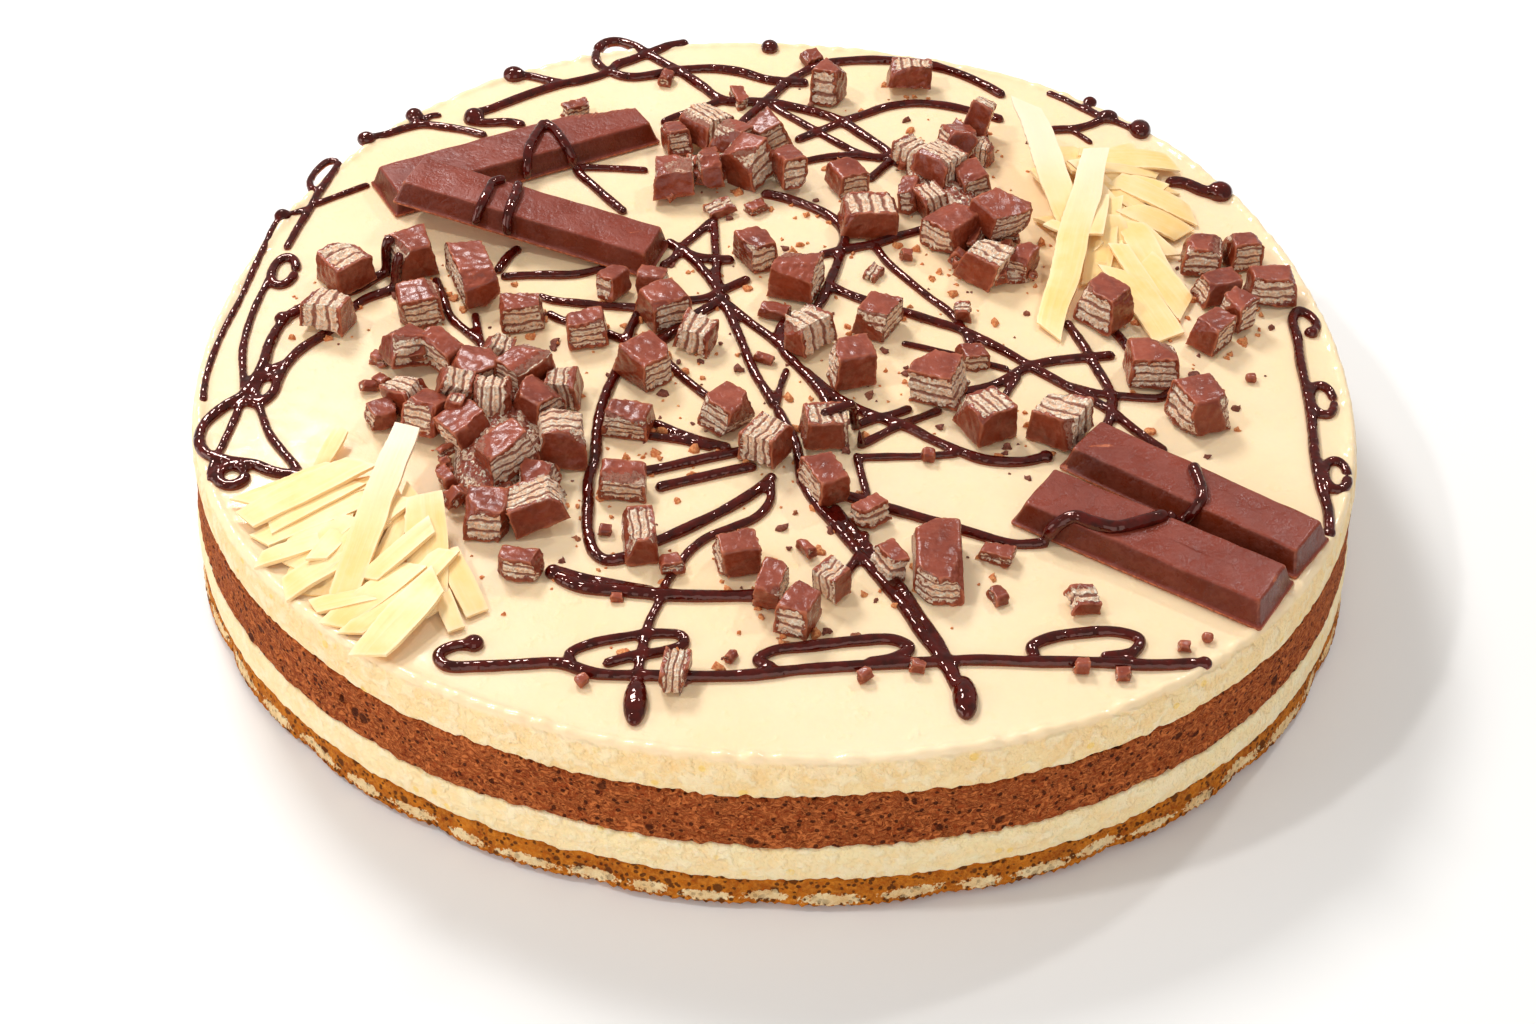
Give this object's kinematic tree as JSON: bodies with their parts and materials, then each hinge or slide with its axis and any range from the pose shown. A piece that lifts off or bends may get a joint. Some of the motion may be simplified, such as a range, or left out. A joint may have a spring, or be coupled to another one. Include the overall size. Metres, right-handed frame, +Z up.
{
  "type": "semifreddo cake",
  "caption": "Round layered semifreddo cake: sponge base, cream, chocolate mousse and glazed cream, dressed with syrup, coated wafer fingers and chunks, and white chocolate shards.",
  "frame": {"origin": "middle of the flat underside of the base, at the centre of the bounding box", "axes": "+Z up; -Y is the front, where the pair of fingers lies at the right and the shards at the left; +X right; metres"},
  "size_m": [0.2826, 0.2864, 0.0552],
  "materials": {
    "sponge_biscuit": "matte, porous",
    "cream": "satin, frozen cream",
    "chocolate_mousse": "matte, full of fine pores",
    "glazed_cream": "glossy pale glaze with dark syrup",
    "coated_wafer": "satin milk chocolate, matte wafer where broken",
    "white_chocolate": "satin, waxy"
  },
  "bodies": {
    "root": {"biscuit_base": "sponge_biscuit", "cream_layer_lower": "cream", "chocolate_mousse_layer": "chocolate_mousse", "cream_layer_top": "glazed_cream", "wafer_finger_back": "coated_wafer", "wafer_finger_crossing": "coated_wafer", "wafer_finger_front": "coated_wafer", "wafer_finger_right": "coated_wafer", "wafer_chunk_01": "coated_wafer", "wafer_chunk_02": "coated_wafer", "wafer_chunk_03": "coated_wafer", "wafer_chunk_04": "coated_wafer", "wafer_chunk_05": "coated_wafer", "wafer_chunk_06": "coated_wafer", "wafer_chunk_07": "coated_wafer", "wafer_chunk_08": "coated_wafer", "wafer_chunk_09": "coated_wafer", "wafer_chunk_10": "coated_wafer", "wafer_chunk_11": "coated_wafer", "wafer_chunk_12": "coated_wafer", "wafer_chunk_13": "coated_wafer", "wafer_chunk_14": "coated_wafer", "wafer_chunk_15": "coated_wafer", "wafer_chunk_16": "coated_wafer", "wafer_chunk_17": "coated_wafer", "wafer_chunk_18": "coated_wafer", "wafer_chunk_19": "coated_wafer", "wafer_chunk_20": "coated_wafer", "wafer_chunk_21": "coated_wafer", "wafer_chunk_22": "coated_wafer", "wafer_chunk_23": "coated_wafer", "wafer_chunk_24": "coated_wafer", "wafer_chunk_25": "coated_wafer", "wafer_chunk_26": "coated_wafer", "wafer_chunk_27": "coated_wafer", "wafer_chunk_28": "coated_wafer", "wafer_chunk_29": "coated_wafer", "wafer_chunk_30": "coated_wafer", "wafer_chunk_31": "coated_wafer", "wafer_chunk_32": "coated_wafer", "wafer_chunk_33": "coated_wafer", "wafer_chunk_34": "coated_wafer", "wafer_chunk_35": "coated_wafer", "wafer_chunk_36": "coated_wafer", "wafer_chunk_37": "coated_wafer", "wafer_chunk_38": "coated_wafer", "wafer_chunk_39": "coated_wafer", "wafer_chunk_40": "coated_wafer", "wafer_chunk_41": "coated_wafer", "wafer_chunk_42": "coated_wafer", "wafer_chunk_43": "coated_wafer", "wafer_chunk_44": "coated_wafer", "wafer_chunk_45": "coated_wafer", "wafer_chunk_46": "coated_wafer", "wafer_heap_left": "coated_wafer", "wafer_heap_right": "coated_wafer", "wafer_heap_back": "coated_wafer", "white_shards_left": "white_chocolate", "white_shards_right": "white_chocolate"}
  },
  "joints": []
}
